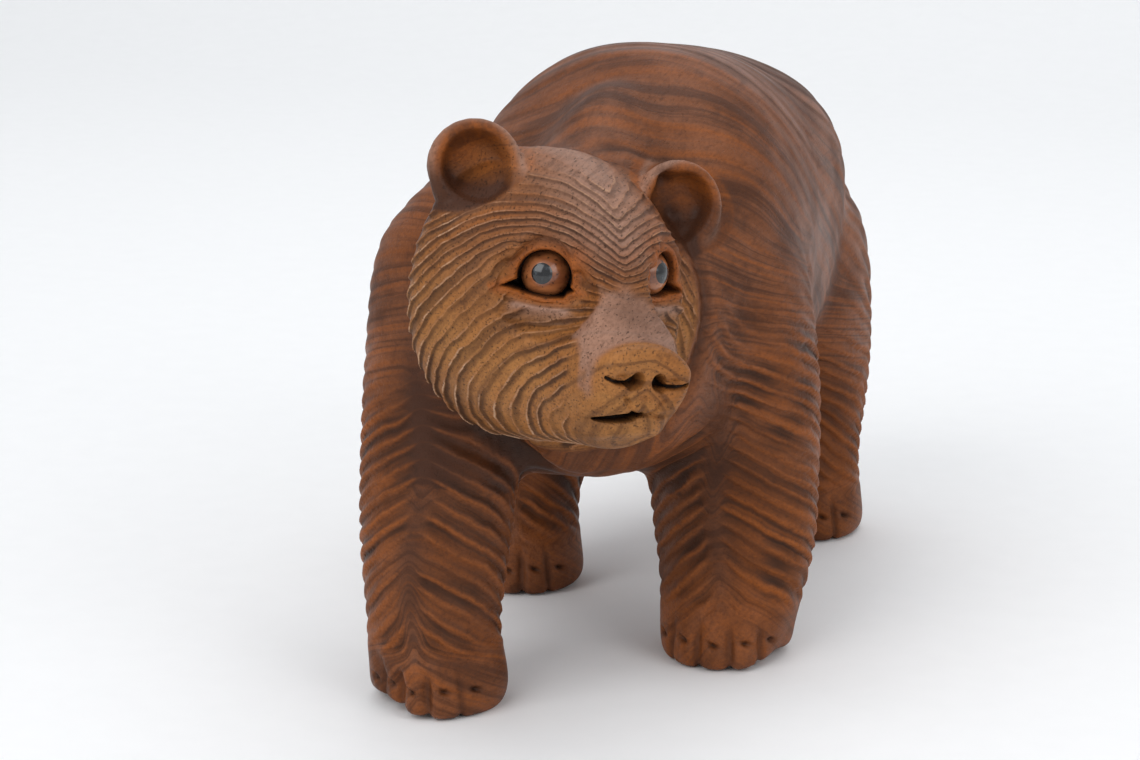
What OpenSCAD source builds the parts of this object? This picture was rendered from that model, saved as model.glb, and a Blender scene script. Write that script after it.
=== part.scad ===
// Walking bear, hand-carved from one block of stained hardwood, with inset eyes.
// The bear faces -Y, its left side is +X, and its four soles stand on Z = 0.

/* [Torso] */
// Height of the back over the shoulders
back_height = 177; // [173:1:184]
// Half the width of the rib cage
rib_half_width = 52; // [48:1:56]
// Height of the belly above the ground
belly_height = 54; // [48:1:58]
// Distance from the chest to the rump
torso_length = 236; // [226:1:246]

/* [Head] */
// Turn of the head towards the bear's left side, in degrees
head_yaw = 43; // [35:1:55]
// Tilt of the head, its left side down, in degrees
head_roll = 11; // [0:1:15]
// Half the width across the cheeks
cheek_half_width = 44; // [40:1:46]
// How much narrower the head is carved on its left side
left_cheek_trim = 10; // [0:1:12]
// Distance from the middle of the head to the tip of the nose
nose_reach = 57; // [52:1:62]

/* [Eyes] */
// Diameter of the turned wooden eyeball
eye_diameter = 13.4; // [12:0.1:15]
// Diameter of the black pupil inlay
pupil_diameter = 5.6; // [4.6:0.2:7]
// Half the distance between the eyes
eye_half_spacing = 14.8; // [13.5:0.1:16]
// Gap between an eyeball and its socket
eye_gap = 0.1; // [0.05:0.05:0.2]

/* [Legs] */
// Half the distance between the front paws
front_half_track = 36; // [32:1:40]
// Half the distance between the hind paws
hind_half_track = 38; // [34:1:42]
// Half the length of a stride of the front legs
front_half_stride = 31; // [20:1:36]
// Half the length of a stride of the hind legs
hind_half_stride = 40; // [30:1:44]
// Half the width of a paw
paw_half_width = 19; // [17:1:21]

/* [Hidden] */

sway = -4;
front_mid_y = -62;
hind_mid_y = 60;
chest_y = -96;
rump_y = chest_y + torso_length;
mid_height = (back_height + belly_height) / 2;
half_height = (back_height - belly_height) / 2;

head_centre = [-1, -88, 120];
eye_depth = -19;
eye_height = 6.1;
left_eye_lift = 3.1;
left_ear_drop = 4;
left_ear_turn = -12;
left_ear_reach = 2;
eye_splay = 30;
eye_radius = eye_diameter / 2;
pupil_radius = pupil_diameter / 2;
pupil_sink = 2.2;
pupil_rise = 0.25;
pupil_fit = 0.02;
scoop_radius = 17;

ear_half_width = 13;
ear_thickness = 8;
ear_offset = [31, 0, 30];

toe_groove = 1.1;
toe_pitch = 0.42;
toe_curve = 1.6;
toe_length = 9;
toe_top = 17;
ring_points = 40;
leg_ring_points = 26;

// ---- Curves and lofts ----

// One value on the smooth curve through a, b, c and d, between b and c
function curve(a, b, c, d, t) =
    0.5 * (2 * b + (c - a) * t + (2 * a - 5 * b + 4 * c - d) * t * t
           + (3 * b - a - 3 * c + d) * t * t * t);

// Rows of a section table, with steps rows for each one given
function smooth_rows(rows, steps) = let (last = len(rows) - 1)
    [for (i = [0:last - 1], j = [0:steps - 1])
        curve(rows[max(i - 1, 0)], rows[i], rows[i + 1], rows[min(i + 2, last)], j / steps),
     rows[last]];

// Rounded outline of half-width w, reaching up above and down below its middle.
// A half is an ellipse where its squareness is 2, fuller above 2 and more peaked below it
function outline(w, up, down, n, square_up, square_down) =
    [for (k = [0:n - 1]) let (c = cos(360 * k / n), s = sin(360 * k / n),
                              q = 2 / (s > 0 ? square_up : square_down))
        [w * sign(c) * pow(abs(c), q), (s > 0 ? up : down) * sign(s) * pow(abs(s), q)]];

// Closed skin over a list of rings that all have n points
module skin(rings, n) {
    last = len(rings) - 1;
    polyhedron(
        points = [for (ring = rings, p = ring) p],
        faces = [
            [for (k = [n - 1:-1:0]) k],
            for (i = [0:last - 1], k = [0:n - 1]) let (a = i * n, b = a + n, m = (k + 1) % n)
                each [[a + k, a + m, b + m], [a + k, b + m, b + k]],
            [for (k = [0:n - 1]) last * n + k]
        ]);
}

// Body along Y. A row is [y, x, z, half-width, reach up, reach down, squareness of its top half]
module loft_y(rows, steps, n, square_down = 2) {
    skin([for (r = smooth_rows(rows, steps))
        [for (p = outline(r[3], r[4], r[5], n, r[6], square_down))
            [r[1] + p[0], r[0], r[2] + p[1]]]], n);
}

// Body along Z. A row is [z, x, y, half-width, reach back, reach front]
module loft_z(rows, steps, n, square = 2) {
    skin([for (r = smooth_rows(rows, steps))
        [for (p = outline(r[3], r[4], r[5], n, square, square))
            [r[1] - p[0], r[2] + p[1], r[0]]]], n);
}

// ---- Torso and neck ----

module torso() {
    w = rib_half_width;
    loft_y([
        [chest_y,       0, 102, 14, 14, 16, 2],
        [chest_y + 6,   0, 104, 26, 22, 32, 2],
        [chest_y + 18,  0, 107, w - 14, 28, 44, 2],
        [chest_y + 36,  0, 112, w - 6, 30, half_height - 10, 2],
        [chest_y + 54,  0, mid_height, w - 1, half_height - 18, half_height - 1, 2.2],
        [chest_y + 74,  0, mid_height, w + 1, half_height - 4, half_height, 2.15],
        [chest_y + 95,  0, mid_height, w + 1, half_height - 1, half_height, 2.2],
        [chest_y + 125, sway * 0.3, mid_height - 2, w, half_height - 3, half_height - 2, 2.4],
        [chest_y + 158, sway * 0.7, mid_height - 5, w, half_height - 5, half_height - 5, 2.6],
        [chest_y + 190, sway, mid_height - 8, w - 3, half_height - 11, half_height - 8, 2.6],
        [chest_y + 215, sway, mid_height - 11, w - 14, half_height - 22, half_height - 18, 2.3],
        [rump_y - 6,    sway, mid_height - 13, w - 30, half_height - 38, half_height - 34, 2],
        [rump_y,        sway, mid_height - 14, 10, 9, 11, 2]
    ], 2, ring_points, 2.4);
}

module neck() {
    loft_y([
        [-98, 5, 116, 14, 24, 24, 2],
        [-88, 3, 118, 21, 32, 36, 2],
        [-72, 1, 122, 23, 34, 42, 2],
        [-56, 0, 126, 23, 38, 46, 1.8],
        [-36, 0, 126, 24, 46, 40, 1.8],
        [-14, 0, 124, 14, 44, 30, 1.8]
    ], 2, leg_ring_points);
}

// ---- Head, in its own frame: nose towards -Y, left ear towards +X ----

module place_head() {
    translate(head_centre) rotate([0, 0, head_yaw]) rotate([0, head_roll, 0]) children();
}

module skull() {
    w = cheek_half_width;
    trim = left_cheek_trim / 2;
    loft_y([
        [-nose_reach,      0, -13, 12, 7, 7.5, 2.1],
        [-nose_reach + 3,  0, -14, 14, 9.5, 12, 2.1],
        [-nose_reach + 9,  0, -16, 15.5, 12, 17, 2.1],
        [-nose_reach + 17, 0, -13, 18, 16, 23, 2.1],
        [-nose_reach + 26, -trim * 0.1, -9, w - 21 - trim * 0.1, 27, 28, 2.1],
        [-nose_reach + 36, -trim * 0.5, -3, w - 11 - trim * 0.5, 32, 36, 2.1],
        [-nose_reach + 48, -trim * 0.9, -1, w - 2 - trim * 0.9, 36, 40, 2.1],
        [-nose_reach + 58, -trim, 0, w - trim, 38, 41, 2.1],
        [-nose_reach + 66, -trim * 0.9, 1, w - 4 - trim * 0.9, 36, 38, 2.1],
        [-nose_reach + 78, -trim * 0.6, 2, w - 16 - trim * 0.6, 28, 26, 2.1]
    ], 2, ring_points, 2.1);
}

// Moves its children to the middle of an ear: side is 1 for left, -1 for right
module place_ear(side) {
    translate(side > 0 ? ear_offset + [left_ear_reach, 0, -left_ear_drop]
                       : [-ear_offset[0], ear_offset[1], ear_offset[2]])
    rotate([-8, side * 24, side > 0 ? left_ear_turn : -14])
    children();
}

// Cup-shaped ear: a rounded disc, hollowed from the front
module ear(side) {
    r = ear_half_width;
    t = ear_thickness;
    place_ear(side)
    difference() {
        loft_y([
            [-t * 0.5,  0, 0, r * 0.88, r * 0.88, r, 2],
            [-t * 0.4,  0, 0, r * 0.96, r * 0.96, r * 1.1, 2],
            [0,         0, 0, r, r, r * 1.2, 2],
            [t * 0.35,  0, 0, r * 0.85, r * 0.85, r * 1.1, 2],
            [t * 0.5,   0, 0, r * 0.55, r * 0.55, r, 2]
        ], 2, 22);
        loft_y([
            [-t,        0, 0, r * 0.84, r * 0.84, r * 0.9, 2],
            [-t * 0.5,  0, 0, r * 0.76, r * 0.76, r * 0.8, 2],
            [-t * 0.25, 0, 0, r * 0.66, r * 0.66, r * 0.7, 2],
            [t * 0.05,  0, 0, r * 0.5, r * 0.5, r * 0.5, 2],
            [t * 0.2,   0, 0, r * 0.2, r * 0.2, r * 0.2, 2]
        ], 2, 22);
    }
}

// Moves its children to an eye's centre, looking out along -Y
module place_eye(side) {
    place_head()
    translate([side * eye_half_spacing, eye_depth, eye_height + (side > 0 ? left_eye_lift : 0)])
    rotate([0, 0, side * eye_splay])
    children();
}

// Round socket for the eyeball, in a shallow scoop that leaves the ball standing proud
module eye_socket(side) {
    place_eye(side) {
        sphere(r = eye_radius + eye_gap, $fn = 24);
        rotate([90, 0, 0]) cylinder(r = eye_radius + eye_gap, h = 6, $fn = 24);
        translate([0, -scoop_radius - eye_radius * 0.55, 0]) sphere(r = scoop_radius, $fn = 32);
    }
}

module nostrils() {
    for (side = [-1, 1])
        place_head()
        hull() {
            translate([side * 5.5, -nose_reach, -15]) sphere(r = 1.9, $fn = 12);
            translate([side * 9, -nose_reach + 1.5, -13.5]) sphere(r = 1.4, $fn = 12);
        }
}

module mouth_slit() {
    for (side = [-1, 1])
        place_head()
        hull() {
            translate([0, -nose_reach + 2, -23.5]) sphere(r = 1, $fn = 12);
            translate([side * 12, -nose_reach + 8, -25.5]) sphere(r = 0.8, $fn = 12);
        }
}

// ---- Legs. side is 1 for left, -1 for right, and the right legs lead the left ones ----

module front_leg(side) {
    x = side * front_half_track;
    y = front_mid_y + side * front_half_stride;
    w = paw_half_width;
    lead = side * front_half_stride;
    thicker = side > 0 ? 4 : 1;
    shoulder = side > 0 ? -1 : 5;
    loft_z([
        [0,   x, y, w, 16, 22],
        [5,   x, y, w + 1, 17, 23.5],
        [14,  x, y, w + thicker / 3, 17, 21],
        [26,  x, y + 1, w + thicker * 0.7, 17, 17],
        [45,  x, y + 3, w + 2 + thicker, 19, 18],
        [75,  x, y + 6 - lead * 0.12, w + 3 + thicker, 23, 22],
        [105, x, front_mid_y + 10 + lead * 0.65, w + 4, 32, 29],
        [128, x * 0.92, front_mid_y + 17 + lead * 0.5, w + shoulder, 30, 27],
        [148, x * 0.68, front_mid_y + 22 + lead * 0.4, w - 9 + shoulder, 17, 15]
    ], 2, leg_ring_points, 2.2);
}

module hind_leg(side) {
    x = sway + side * hind_half_track;
    y = hind_mid_y + side * hind_half_stride;
    w = paw_half_width;
    lead = side * hind_half_stride;
    loft_z([
        [0,   x, y, w - 1, 17, 20],
        [5,   x, y, w, 18, 21],
        [14,  x, y, w - 1, 17, 18],
        [28,  x, y + 3, w - 2, 16, 15],
        [48,  x * 0.98, y + 3, w + 1, 20, 20],
        [75,  x * 0.95, hind_mid_y + 8 + lead * 0.75, w + 3, 32, 32],
        [105, x * 0.92, hind_mid_y + 12 + lead * 0.5, w + 1, 38, 38],
        [130, x * 0.75, hind_mid_y + 14 + lead * 0.3, w - 7, 28, 28]
    ], 2, leg_ring_points, 2.2);
}

// Four grooves that part the five toes of the paw at centre
module toe_grooves(centre, reach) {
    for (k = [-1.5:1:1.5]) {
        x = centre[0] + k * paw_half_width * toe_pitch;
        front = centre[1] - reach + abs(k) * toe_curve;
        hull() {
            translate([x, front - 1, 0]) cylinder(r = toe_groove, h = toe_length, $fn = 8);
            translate([x, front + toe_length, toe_top]) sphere(r = toe_groove / 2, $fn = 8);
        }
    }
}

// ---- Nodes ----

module carved_body() {
    color([0.38, 0.22, 0.13])
    difference() {
        union() {
            torso();
            neck();
            place_head() {
                skull();
                ear(1);
                ear(-1);
            }
            for (side = [-1, 1]) {
                front_leg(side);
                hind_leg(side);
            }
        }
        for (side = [-1, 1]) {
            eye_socket(side);
            toe_grooves([side * front_half_track, front_mid_y + side * front_half_stride], 22);
            toe_grooves([sway + side * hind_half_track, hind_mid_y + side * hind_half_stride], 20.5);
        }
        nostrils();
        mouth_slit();
    }
}

module eye(side) {
    color([0.5, 0.28, 0.15])
    place_eye(side)
    difference() {
        sphere(r = eye_radius, $fn = 48);
        rotate([90, 0, 0]) translate([0, 0, eye_radius - pupil_sink])
            cylinder(r = pupil_radius, h = eye_radius, $fn = 36);
    }
}

module pupil(side) {
    color([0.05, 0.05, 0.06])
    place_eye(side)
    intersection() {
        sphere(r = eye_radius + pupil_rise, $fn = 48);
        rotate([90, 0, 0]) translate([0, 0, eye_radius - pupil_sink])
            cylinder(r = pupil_radius - pupil_fit, h = eye_radius, $fn = 36);
    }
}

module left_eye() { eye(1); }
module right_eye() { eye(-1); }
module left_pupil() { pupil(1); }
module right_pupil() { pupil(-1); }

carved_body();
left_eye();
right_eye();
left_pupil();
right_pupil();
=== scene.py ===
"""Looks of the carved walking bear: one block of stained wood with hair strokes, and two inset eyes."""
import math

import bpy
import bmesh
import numpy as np
import openvdb as vdb
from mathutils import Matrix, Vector
from mathutils.bvhtree import BVHTree


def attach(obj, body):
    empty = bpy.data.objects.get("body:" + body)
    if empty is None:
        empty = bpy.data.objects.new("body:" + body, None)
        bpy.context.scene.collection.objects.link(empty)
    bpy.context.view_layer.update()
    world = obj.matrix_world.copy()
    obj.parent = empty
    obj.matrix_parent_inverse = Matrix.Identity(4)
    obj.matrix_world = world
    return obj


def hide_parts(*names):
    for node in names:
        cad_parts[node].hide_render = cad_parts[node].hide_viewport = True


MM = 0.001

# ---------------------------------------------------------------- places, in millimetres

HEAD_CENTRE = np.array([-1.0, -88.0, 120.0])
HEAD_YAW, HEAD_ROLL = math.radians(43), math.radians(11)
SOCKET_RADIUS = 7.5  # behind the lids, around each eyeball
BALL_RADIUS, PUPIL_RADIUS = 6.7, 2.8
# From here on -1 is the bear's right side and 1 its left.
BALL_SHIFT = {-1: (0.0, 1.0), 1: (1.0, 0.2)}  # of each eyeball in its socket: outward, and back
EYE_SPLAY = math.radians(30)
EYES = {-1: np.array([-14.8, -19.5, 6.1]), 1: np.array([14.5, -19.5, 9.2])}
LOOK = {-1: (38, 4), 1: (24, 9)}  # where each pupil looks: degrees outward and up
CLAY = [  # centre, radius and thickness of clay added to the form, or taken off where below 0
    ((-45, -76, 135), 24, 2.5), ((-26, -27, 164), 22, -3.6), ((46, 66, 135), 26, 2.6),
    ((30, 52, 162), 16, -1.5), ((-22, 10, 50), 15, 7.0), ((57, -35, 30), 18, 2.6),
    ((55, -38, 3), 11, -3.2), ((-51, -108, 3), 13, -4.0), ((-15, -95, 8), 10, 2.2),
]
LEGS = {  # paw centres: x, y and how far up the chevron strokes reach
    "front_right": (-36, -93, 100), "front_left": (36, -31, 112),
    "hind_right": (-42, 20, 78), "hind_left": (34, 100, 78),
}

NOSTRIL_START, NOSTRIL_LENGTH, NOSTRIL_HEIGHT = 3.4, 8.6, -14.6  # from the midline, outward, up
EARS = {-1: (31, 0, 30), 1: (33, 0, 26)}  # distance from the midline, back, and height
EAR_TURN = {-1: -14, 1: -12}  # degrees about the vertical
EAR_TIP, EAR_LEAN = -8, 24  # degrees forward and outward
EAR_HOLLOW = (10.2, 11.4)  # half width and half height
TOE_SPACING, CLAW_SPACING = 27, 26  # degrees around a paw
LEG_PITCH, BODY_PITCH, FACE_PITCH = 4.1, 7.5, 1.75  # distance between strokes
SKEW = 0.74  # where between two crests a stroke is deepest

BODY_VOXEL = 1.0
BAND = 9  # how far from the skin distances are kept
BLENDS = {"body": 3.2, "nape": 4.5, "paws": 1.7, "head": 0.9, "ears": 0.6}  # blur of the form
SOLVER_STEPS = 1500


def head_axes():
    cy, sy = math.cos(HEAD_YAW), math.sin(HEAD_YAW)
    cr, sr = math.cos(HEAD_ROLL), math.sin(HEAD_ROLL)
    yaw = np.array([[cy, -sy, 0], [sy, cy, 0], [0, 0, 1]])
    roll = np.array([[cr, 0, sr], [0, 1, 0], [-sr, 0, cr]])
    return yaw @ roll


HEAD = head_axes()


def to_head(p):
    return (p - HEAD_CENTRE) @ HEAD


def from_head(v):
    return v @ HEAD.T


# ---------------------------------------------------------------- small maths

def unit(v):
    return v / np.maximum(np.linalg.norm(v, axis=-1, keepdims=True), 1e-9)


def ramp(x, a, b):
    """0 at a and below, 1 at b and above, with smooth ends; a may be the larger."""
    t = np.clip((x - a) / (b - a), 0, 1)
    return t * t * (3 - 2 * t)


def bump(x, centre, width):
    return np.exp(-((x - centre) / width) ** 2)


def lattice_noise(p, scale, seed):
    """Smooth noise from -1 to 1 at points p, with cells of scale mm."""
    q = p / scale
    base = np.floor(q).astype(np.int64)
    f = q - base
    f = f * f * (3 - 2 * f)
    total = np.zeros(len(p))
    for corner in range(8):
        o = np.array([corner & 1, corner >> 1 & 1, corner >> 2 & 1])
        c = base + o
        h = c[:, 0] * 73856093 ^ c[:, 1] * 19349663 ^ c[:, 2] * 83492791 ^ seed * 2654435761
        h = h & 0xFFFFFF
        h = (h * 1103515245 + 12345 >> 8) & 0xFFFF
        w = np.prod(np.where(o, f, 1 - f), axis=1)
        total += w * (h / 32767.5 - 1)
    return total


def hash01(k, seed):
    h = (np.asarray(k).astype(np.int64) * 2654435761 + seed * 97) & 0xFFFFFFFF
    h ^= h >> 15
    h = (h * 2246822519) & 0xFFFFFFFF
    h ^= h >> 13
    return (h & 0xFFFFFF) / 0xFFFFFF


# ---------------------------------------------------------------- distance grids and meshes

def mesh_arrays(obj):
    m = obj.data
    co = np.zeros(len(m.vertices) * 3)
    m.vertices.foreach_get("co", co)
    m.calc_loop_triangles()
    tri = np.zeros(len(m.loop_triangles) * 3, np.int32)
    m.loop_triangles.foreach_get("vertices", tri)
    return co.reshape(-1, 3) / MM, tri.reshape(-1, 3)


def weld(co, tri):
    key = np.round(co, 3)
    _, first, back = np.unique(key, axis=0, return_index=True, return_inverse=True)
    back = back.reshape(-1)
    tri = back[tri]
    ok = (tri[:, 0] != tri[:, 1]) & (tri[:, 1] != tri[:, 2]) & (tri[:, 0] != tri[:, 2])
    return co[first], tri[ok]


def distance_grid(co, tri, voxel, low, shape):
    grid = vdb.FloatGrid.createLevelSetFromPolygons(
        np.ascontiguousarray(co - low, np.float32), triangles=np.ascontiguousarray(tri, np.int32),
        transform=vdb.createLinearTransform(voxel), halfWidth=BAND / voxel)
    out = np.empty(shape, np.float32)
    grid.copyToArray(out, ijk=(0, 0, 0))
    return out


def gaussian(a, sigma):
    """Separable Gaussian blur of a grid; sigma in cells."""
    r = max(1, int(math.ceil(2.6 * sigma)))
    k = np.exp(-0.5 * (np.arange(-r, r + 1) / sigma) ** 2)
    k = (k / k.sum()).astype(np.float32)
    for axis in range(3):
        pad = [(0, 0)] * 3
        pad[axis] = (r, r)
        b = np.pad(a, pad, mode="edge")
        out = np.zeros_like(a)
        for i, w in enumerate(k):
            s = [slice(None)] * 3
            s[axis] = slice(i, i + a.shape[axis])
            out += w * b[tuple(s)]
        a = out
    return a


def surface(a, voxel, low):
    """Triangles of the zero surface of a grid, in mm."""
    grid = vdb.FloatGrid()
    grid.transform = vdb.createLinearTransform(voxel)
    grid.copyFromArray(np.ascontiguousarray(a, np.float32))
    pts, tris, quads = grid.convertToPolygons(isovalue=0.0, adaptivity=0.0)
    pts = pts.astype(np.float64) + low
    tri = np.concatenate([tris.reshape(-1, 3), quads[:, [0, 1, 2]], quads[:, [0, 2, 3]]])
    return pts, tri.astype(np.int64)


def sample(a, voxel, low, p):
    """Trilinear value of a grid at points."""
    q = (p - low) / voxel
    q = np.clip(q, 0, np.array(a.shape) - 1.001)
    i = q.astype(np.int64)
    f = q - i
    c = {(dx, dy, dz): a[i[:, 0] + dx, i[:, 1] + dy, i[:, 2] + dz]
         for dx in (0, 1) for dy in (0, 1) for dz in (0, 1)}
    fx, fy, fz = f.T
    x0 = {(y, z): c[0, y, z] * (1 - fx) + c[1, y, z] * fx for y in (0, 1) for z in (0, 1)}
    y0 = {z: x0[0, z] * (1 - fy) + x0[1, z] * fy for z in (0, 1)}
    return y0[0] * (1 - fz) + y0[1] * fz


def gradient(a, voxel, low, p, h):
    return np.stack([
        sample(a, voxel, low, p + h * e) - sample(a, voxel, low, p - h * e) for e in np.eye(3)], 1)


def vertex_normals(co, tri):
    e = np.cross(co[tri[:, 1]] - co[tri[:, 0]], co[tri[:, 2]] - co[tri[:, 0]])
    n = np.stack([sum(np.bincount(tri[:, k], e[:, a], len(co)) for k in range(3)) for a in range(3)], 1)
    return unit(n)


def edges_of(tri):
    e = np.concatenate([tri[:, [0, 1]], tri[:, [1, 2]], tri[:, [2, 0]]])
    e.sort(axis=1)
    return np.unique(e, axis=0)


def split_edges(co, tri, chosen):
    """Halves every edge whose two ends are chosen, and its triangles with it, without cracks."""
    e = edges_of(tri)
    key = e[:, 0] * len(co) + e[:, 1]
    mark = chosen[e[:, 0]] & chosen[e[:, 1]]
    middle = np.full(len(e), -1)
    middle[mark] = len(co) + np.arange(mark.sum())
    new = 0.5 * (co[e[mark, 0]] + co[e[mark, 1]])

    def mid(a, b):
        lo, hi = np.minimum(a, b), np.maximum(a, b)
        return middle[np.searchsorted(key, lo * len(co) + hi)]

    m = np.stack([mid(tri[:, 0], tri[:, 1]), mid(tri[:, 1], tri[:, 2]), mid(tri[:, 2], tri[:, 0])], 1)
    count = (m >= 0).sum(1)
    parts = [tri[count == 0]]
    # one split edge: turn the triangle so that it is the first
    for k in range(3):
        s = (count == 1) & (m[:, k] >= 0)
        a, b, c = tri[s, k], tri[s, (k + 1) % 3], tri[s, (k + 2) % 3]
        x = m[s, k]
        parts += [np.stack([a, x, c], 1), np.stack([x, b, c], 1)]
        s = (count == 2) & (m[:, k] < 0)
        a, b, c = tri[s, k], tri[s, (k + 1) % 3], tri[s, (k + 2) % 3]
        x, y = m[s, (k + 1) % 3], m[s, (k + 2) % 3]
        parts += [np.stack([a, b, x], 1), np.stack([a, x, y], 1), np.stack([y, x, c], 1)]
    s = count == 3
    a, b, c = tri[s].T
    x, y, z = m[s].T
    parts += [np.stack(t, 1) for t in ((a, x, z), (x, b, y), (z, y, c), (x, y, z))]
    return np.concatenate([co, new]), np.concatenate(parts)


# ---------------------------------------------------------------- form

def base_form(frame):
    """The CAD body as a smooth distance grid: limbs blended, facets gone, head kept crisper."""
    low = np.array([-76.0, -154.0, -14.0])
    size = np.array([152.0, 308.0, 204.0])
    shape = tuple((size / BODY_VOXEL).astype(int))
    co, tri = weld(*mesh_arrays(frame["nodes"]["carved_body"]))
    a = distance_grid(co, tri, BODY_VOXEL, low, shape)
    ax = [low[k] + BODY_VOXEL * np.arange(shape[k], dtype=np.float32) for k in range(3)]
    X, Y, Z = np.meshgrid(*ax, indexing="ij", sparse=True)

    def ball(c, r):
        return np.sqrt((X - c[0]) ** 2 + (Y - c[1]) ** 2 + (Z - c[2]) ** 2) - r

    for s in (-1, 1):  # the lids lie over the eyeballs, so the base form fills the sockets
        a = np.minimum(a, ball(from_head(EYES[s]) + HEAD_CENTRE, SOCKET_RADIUS + 0.6))
    soft = gaussian(a, BLENDS["body"])
    nape = gaussian(soft, BLENDS["nape"])
    at_nape = np.exp(-((X / 30) ** 2 + ((Y + 42) / 34) ** 2 + ((Z - 162) / 26) ** 2))
    soft = soft + (nape - soft) * np.clip(1.4 * at_nape, 0, 1)
    mid = gaussian(a, BLENDS["paws"])
    crisp = gaussian(a, BLENDS["head"])
    # head-local coordinates of the whole grid
    dx, dy, dz = X - HEAD_CENTRE[0], Y - HEAD_CENTRE[1], Z - HEAD_CENTRE[2]
    hx = dx * HEAD[0, 0] + dy * HEAD[1, 0] + dz * HEAD[2, 0]
    hy = dx * HEAD[0, 1] + dy * HEAD[1, 1] + dz * HEAD[2, 1]
    hz = dx * HEAD[0, 2] + dy * HEAD[1, 2] + dz * HEAD[2, 2]
    d = np.sqrt((hx / 50) ** 2 + ((hy + 24) / 40) ** 2 + ((hz - 2) / 46) ** 2)
    w_head = 1 - ramp(d, 0.92, 1.12)
    w_ear = 0.0
    for side, (reach, _, lift) in EARS.items():
        ear = np.sqrt((hx - side * reach) ** 2 + (hy * 1.6) ** 2 + (hz - lift - 3) ** 2)
        w_head = np.maximum(w_head, 1 - ramp(ear, 17, 24))
        w_ear = np.maximum(w_ear, 1 - ramp(ear, 13, 18))
    w_paw = 1 - ramp(Z, 12, 26)
    out = soft + (mid - soft) * np.maximum(w_paw, w_head)
    out = out + (crisp - out) * w_head
    out = out + (gaussian(a, BLENDS["ears"]) - out) * w_ear
    for (cx, cy, cz), radius, amount in CLAY:
        out = out - amount * np.exp(-((X - cx) ** 2 + (Y - cy) ** 2 + (Z - cz) ** 2) / radius ** 2)
    return out.astype(np.float32), low


# ---------------------------------------------------------------- where things are on the skin

def head_mask(h):
    """1 on the face in front of the ruff, 0 behind it."""
    front = ramp(h[:, 1], 3.5, 0.5)
    wide = np.where(h[:, 0] > 0, 34.0, 48.0)
    near = 1 - ramp(np.sqrt((h[:, 0] / wide) ** 2 + (h[:, 2] / 45) ** 2), 0.98, 1.06)
    jaw = -np.interp(h[:, 1], [-57, -54, -48, -40, -21, -9, 1], [21, 26, 33, 36, 39, 41, 41])
    return front * near * ramp(h[:, 2], jaw - 3.5, jaw - 1.5)


def ridge_line(name, z):
    """Where across a leg its front ridge runs at height z."""
    return LEGS[name][0] + 2.2 * np.sin(z / 11.0 + LEGS[name][1])


def leg_side(p):
    """For each leg its influence, and on which side of its front ridge a point lies."""
    out = []
    for name, (x, y, top) in LEGS.items():
        reach = np.sqrt(((p[:, 0] - x) / 34) ** 2 + ((p[:, 1] - y) / 42) ** 2)
        w = ramp(p[:, 2], top + 18, top - 22) * (1 - ramp(reach, 0.9, 1.25))
        out.append((name, w, np.where(p[:, 0] > ridge_line(name, p[:, 2]), 1.0, -1.0)))
    return out


FACE_FLOW = [  # distance from the midline, height, and rise of the strokes outward in degrees
    (2, 42, 62), (12, 42, 40), (24, 40, 8), (36, 34, -26),
    (2, 30, 56), (5, 28, 48), (10, 30, 32), (18, 30, 6), (25, 21, -10), (32, 28, -24), (37, 14, -33),
    (2, 18, 52), (6, 18, 44), (11, 19, 26), (16, 20, 8), (43, 10, -40),
    (3, 6, 30), (8, 2, -4), (14, -4, -24), (24, -3, -34), (31, 3, -37), (39, -4, -45), (43, -10, -52),
    (7, -8, -30), (14, -10, -42), (18, -19, -56), (28, -15, -51), (38, -22, -63),
    (14, -26, -62), (24, -26, -64), (30, -30, -70),
    (8, -30, -66), (16, -34, -76), (4, -36, -80), (26, -38, -84),
]


def face_angle(h):
    lat, z = np.abs(h[:, 0]), h[:, 2]
    num = np.zeros(len(h))
    den = np.zeros(len(h)) + 1e-9
    for l0, z0, a in FACE_FLOW:
        w = 1 / (((lat - l0) ** 2 + (z - z0) ** 2 + 6.0) ** 1.5)
        num += w * math.radians(a)
        den += w
    return num / den


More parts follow.
